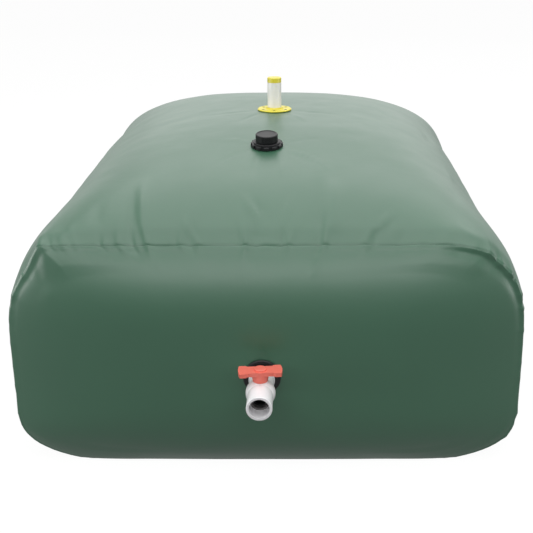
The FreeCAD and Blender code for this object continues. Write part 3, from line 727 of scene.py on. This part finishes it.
port_wrinkles = [
    ([(34, -420, 692), (78, -441, 684), (127, -486, 674), (150, -530, 662)], 5, 1.1),
    ([(34, -432, 690), (70, -455, 682), (104, -500, 672)], 5, -1.0),
    ([(-46, -425, 691), (-90, -450, 682), (-130, -500, 670)], 6, -0.9),
    ([(-40, -372, 695), (-88, -350, 697), (-140, -342, 695)], 6, 0.9),
    ([(30, -375, 695), (80, -345, 697), (135, -330, 696)], 6, -0.9),
    ([(20, -448, 687), (30, -500, 676), (30, -560, 655)], 6, 0.9),
    ([(-30, -450, 687), (-36, -505, 674), (-34, -570, 652)], 6, -0.8),
    ([(52, -20, 709), (110, -36, 707), (190, -50, 702)], 6, -1.0),
    ([(50, 6, 709), (115, 20, 707), (185, 40, 702)], 6, 0.9),
    ([(-50, -24, 709), (-105, -44, 707), (-190, -66, 702)], 6, -1.1),
    ([(-50, 4, 709), (-112, 16, 707), (-180, 30, 702)], 6, 0.9),
    ([(36, -50, 709), (70, -104, 707), (96, -170, 703)], 6, 0.9),
    ([(-34, -52, 709), (-62, -108, 707), (-90, -176, 703)], 6, -0.9),
    ([(2, -62, 709), (0, -120, 707), (-4, -190, 703)], 6, -0.7),
]
wrap_folds = ((shoulder_folds, 1.0), (seam_creases, 1.4), (port_wrinkles, 1.7))
print("folds", [len(folds) for folds, gain in wrap_folds])

# %% [markdown]
# The front panel is pressed tight by the water, so it has few folds: short
# ones that hang from the seam, some at the four corners, and one where the
# outlet's weight pulls on the sheet above it.

# %% Folds of the front panel
panel_folds = [
    ([(-512, -752, 524), (-499, -762, 498), (-492, -766, 470)], 9, 2.4),
    ([(-528, -754, 505), (-512, -762, 480), (-505, -764, 455)], 8, -2.0),
    ([(470, -752, 535), (480, -768, 505), (492, -766, 478)], 11, 2.0),
    ([(430, -752, 540), (440, -766, 512)], 10, -1.4),
    ([(590, -754, 205), (566, -762, 165), (545, -770, 128)], 9, -3.0),
    ([(592, -754, 180), (572, -762, 142), (552, -768, 108)], 9, 2.4),
    ([(575, -755, 90), (555, -762, 66), (530, -770, 50)], 9, 2.6),
    ([(-575, -755, 92), (-552, -764, 70), (-525, -772, 56)], 11, 1.8),
    ([(-330, -752, 544), (-326, -772, 505)], 9, -1.3),
    ([(-170, -752, 545), (-166, -776, 500)], 9, 1.4),
    ([(-40, -752, 546), (-36, -772, 508)], 8, -1.3),
    ([(60, -752, 546), (58, -776, 498)], 9, 1.4),
    ([(130, -752, 546), (134, -780, 480)], 11, -1.5),
    ([(230, -752, 545), (236, -774, 500)], 9, 1.3),
    ([(-9, -817, 300), (-12, -812, 345), (-6, -800, 395)], 14, 1.6),
]
print("panel folds", len(panel_folds))

# %% [markdown]
# The wrapped sheet is one closed tube from seam to seam. It is made of rows of
# points, one row for each station along the tank. The rows stand close together
# at the seams, where the puckers are short, and far apart at mid length. A
# subdivided box would need its smallest faces everywhere.

# %% Stations along the tank
front_stations = [0, 1, 2, 3.2, 4.5, 6, 8, 10.5, 13.5, 17, 21, 26, 32, 39, 47, 56, 66, 77, 89, 102,
                  116, 131, 147, 164]  # mm from the front seam
rear_stations = [0, 2, 5, 9, 14, 20, 28, 38, 50, 65, 85, 110, 140]  # mm from the rear seam


def wrap_stations():
    """Places along the tank from -1 to 1, closer together towards the seams."""
    half = seam_length / 2 / MM
    front = front_stations + np.linspace(front_stations[-1], half, 50)[1:].tolist()
    back = rear_stations + np.linspace(rear_stations[-1], half, 25)[1:-1].tolist()
    return np.array([-1 + d / half for d in front] + [1 - d / half for d in back[::-1]])


print("stations", len(wrap_stations()))

# %% [markdown]
# First the plain form, then everything that lifts the sheet off it: slack,
# folds, puckers and the valley of the seam. All of them are heights along the
# normal and are added up before a single point moves, so that they don't
# disturb each other. Last, the sheet is pressed flat where it lies on the floor.

# %% The wrapped sheet
fold_start = 40  # mm from the seam, where folds reach their full height
lean_reach = 9  # mm from the seam, where the rim's lean to the front dies out
corner_reach = 50  # mm from the seam, where the corners' shift fades


def wrap_grid():
    """Points of the wrapped sheet with its folds, one row for each station."""
    stations = wrap_stations()
    rows = []
    for t in stations:
        x, z = section(t, loop_angles(t))
        rows.append(np.stack([x, np.full_like(x, t * seam_length / 2), z], axis=1))
    rows = np.array(rows)
    normal = grid_normals(rows, -1)
    lift = slack(rows, 340, 0.9, 5) + slack(rows, 120, 0.35, 9)
    for folds, gain in wrap_folds:
        for path, width, height in folds:
            lift += fold(rows, path, width, gain * height)
    away = (1 - np.abs(stations)) * seam_length / 2 / MM
    lift *= np.clip(away / fold_start, 0, 1)[:, None]
    forward = np.zeros(rows.shape[:2])
    for i, t in enumerate(stations):
        marks = front_marks if t < 0 else rear_marks
        dip = valley * MM * math.exp(-(away[i] / valley_width) ** 2)
        lift[i] += pucker_lift(marks, away[i], 1.0) - dip
        near = math.exp(-away[i] / rim_turn)
        normal[i] = normal[i] * (1 - near) + rim_out * near
        if t < 0:
            forward[i] = rim_forward * MM * math.exp(-away[i] / lean_reach)
            rows[i] += corner_shift * math.exp(-(away[i] / corner_reach) ** corner_fade)
    normal /= np.linalg.norm(normal, axis=2, keepdims=True)
    lift *= np.clip(rows[..., 2] / floor_calm, 0, 1)
    rows = rows + normal * lift[..., None]
    rows[..., 1] -= forward
    return flat_on_floor(rows)


wrap = grid_mesh("tank_wrap", wrap_grid(), sheet_finish, -1)
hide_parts("body_wrap")
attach(wrap, "tank")
print("tank_wrap", len(wrap.data.polygons), "faces")

# %% [markdown]
# An end panel is a flat sheet that the water pushes out into a low dome. Its
# rows follow the seam's outline and shrink towards the outlet, so that the
# mesh is fine at the rim and already round where the outlet needs a round hole.
# A flat disc pushed out would have its points in the wrong places.


# %% Rows of an end panel
def panel_grid(side, near, far_count):
    """Points of a domed end panel from the seam to the outlet's pad."""
    ray = np.stack([seam_x - outlet_x, seam_z - outlet_height], axis=1)
    length = np.linalg.norm(ray, axis=1)
    pad = outlet_pad_radius / length
    reach = length * (1 - pad)
    shares = [1 - d * MM / reach for d in near]
    shares += [shares[-1] * (1 - q) for q in np.linspace(0, 1, far_count + 1)[1:]]
    rows = []
    for share in shares:
        out = (pad + (1 - pad) * share)[:, None] * ray
        y = side * (seam_length / 2 + panel_bulge * (1 - share ** panel_roundness))
        rows.append(np.stack([outlet_x + out[:, 0], y, outlet_height + out[:, 1]], axis=1))
    return np.array(rows)


def hole_rows(rows, radii):
    """Flat rows round the outlet, from the pad inwards to the hole."""
    last = rows[-1] - np.array([outlet_x, 0, outlet_height])
    size = np.hypot(last[:, 0], last[:, 2])[:, None]
    extra = []
    for radius in radii:
        ring = last * radius * MM / size
        ring[:, 1] = last[:, 1]
        extra.append(ring + np.array([outlet_x, 0, outlet_height]))
    return np.concatenate([rows, np.array(extra)])


# %% [markdown]
# Along its rim the panel is doubled by the welded lap, a low rounded bead with
# a small step at its inner edge. Behind it the panel sinks into the trough of
# the corners. The lap is lower where the trough is deep, because the gathered
# sheet hides it there.

# %% The folded panel
lap_width, lap_edge = 16, 11.4  # mm from the seam
panel_fold_start = 45  # mm from the seam, where folds reach their full height
panel_lean_reach = 5
panel_corner_reach = 85
far_step = 40.0  # mm, about the distance between the rows away from the rim


def lap(away):
    """Height in mm of the welded lap: rounded, with a small step at its inner edge."""
    bead = 0.6 * math.sin(math.pi * min(away / lap_width, 1)) ** 0.7
    edge = 0.12 / (1 + math.exp((away - lap_edge) / 0.5)) * min(away / 3, 1)
    return bead + edge


def folded_panel(side, near, far_count, marks, folds):
    """Points of an end panel with its folds, puckers, lap and trough."""
    rows = panel_grid(side, near, far_count)
    normal = grid_normals(rows, -side)
    lift = slack(rows, 260, 0.8, 21 + side)
    for path, width, height in folds:
        lift += fold(rows, path, width, height, True)
    far = [near[-1] + far_step * (k + 1) for k in range(len(rows) - len(near))]
    lift *= np.clip(np.array(list(near) + far) / panel_fold_start, 0, 1)[:, None]
    lift[-2:] = 0
    for i, away in enumerate(near):
        dip = valley * MM * math.exp(-(away / valley_width) ** 2)
        lift[i] += pucker_lift(marks, away, 0.45) - dip
        lift[i] += lap(away) * MM * np.clip(1 - trough_depth / 9, 0.25, 1)
        if side < 0:
            ratio = (away / trough_place) ** 2
            lift[i] -= trough_depth * MM * ratio * np.exp(1 - ratio)
            rows[i, :, 1] -= rim_forward * MM * math.exp(-away / panel_lean_reach)
            rows[i] += corner_shift * math.exp(-(away / panel_corner_reach) ** corner_fade)
        turn = math.exp(-away / rim_turn)
        normal[i] = normal[i] * (1 - turn) + rim_out * turn
    normal /= np.linalg.norm(normal, axis=2, keepdims=True)
    lift *= np.clip(rows[..., 2] / floor_calm, 0, 1)
    return flat_on_floor(rows + normal * lift[..., None])


# %% [markdown]
# Both panels come from the same recipe. The front one has a hole for the
# outlet, with a flat pad round it that the nut clamps. The rear one has no
# fitting, so a fan of faces closes it, and it can be coarser.

# %% Both end panels
front_near = [0, 1, 2, 3.2, 4.5, 6, 7.5, 9, 10.2, 11, 11.6, 12.4, 14, 16.5, 20, 24, 29, 35, 43,
              52, 63]  # mm from the seam
rear_near = [0, 2, 4, 6.5, 9, 11, 12.4, 16, 22, 30, 45, 63]  # mm from the seam
hole_radii = (48, 38, 30, 21.1)  # mm, from the pad to the hole
front_rows = hole_rows(folded_panel(-1, front_near, 30, front_marks, panel_folds), hole_radii)
rear_rows = folded_panel(1, rear_near, 18, rear_marks, [])
front = grid_mesh("front_panel_skin", front_rows, sheet_finish, 1)
rear = grid_mesh("rear_panel_skin", rear_rows, sheet_finish, -1, cap=True)
for piece, node in ((front, "front_panel"), (rear, "rear_panel")):
    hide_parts(node)
    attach(piece, "tank")
    print(piece.name, len(piece.data.polygons), "faces")
